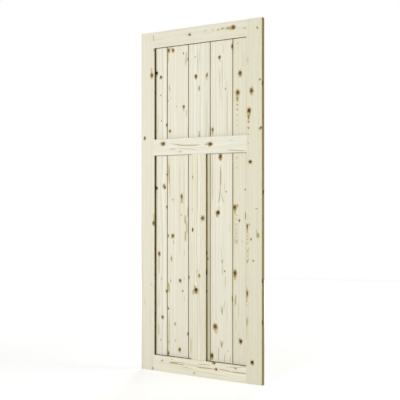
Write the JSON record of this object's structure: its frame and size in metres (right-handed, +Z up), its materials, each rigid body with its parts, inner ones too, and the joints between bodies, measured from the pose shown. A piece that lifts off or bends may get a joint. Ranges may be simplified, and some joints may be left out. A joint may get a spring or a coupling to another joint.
{
  "type": "barn door",
  "caption": "Sliding barn door leaf in knotty pine: a rabbeted frame with a mid rail and a lower mullion over vertical tongue-and-groove boards.",
  "frame": {"origin": "middle of the bottom edge, half way through the thickness", "axes": "+Z up the door's height, +X to the right as seen from the front, +Y from the front face to the back face"},
  "size_m": [0.8636, 0.0318, 2.1336],
  "materials": {
    "stile_pine": "planed and sanded knotty pine, unfinished",
    "rail_pine": "planed and sanded knotty pine, unfinished",
    "board_pine": "planed and sanded knotty pine, unfinished",
    "dowel_beech": "fluted beech dowel, glued",
    "nail_steel": "bright flat-wire nail, set flush"
  },
  "bodies": {
    "root": {"left_stile": "stile_pine", "right_stile": "stile_pine", "top_rail": "rail_pine", "mid_rail": "rail_pine", "bottom_rail": "rail_pine", "mullion": "stile_pine", "board_1": "board_pine", "board_2": "board_pine", "board_3": "board_pine", "board_4": "board_pine", "board_5": "board_pine", "dowels_top_rail_left": "dowel_beech", "dowels_top_rail_right": "dowel_beech", "dowels_mid_rail_left": "dowel_beech", "dowels_mid_rail_right": "dowel_beech", "dowels_bottom_rail_left": "dowel_beech", "dowels_bottom_rail_right": "dowel_beech", "dowels_mullion_head": "dowel_beech", "dowels_mullion_foot": "dowel_beech", "nails_top_rail": "nail_steel", "nails_mid_rail": "nail_steel", "nails_bottom_rail": "nail_steel", "nails_left_stile": "nail_steel", "nails_right_stile": "nail_steel", "nails_mullion": "nail_steel"}
  },
  "joints": []
}
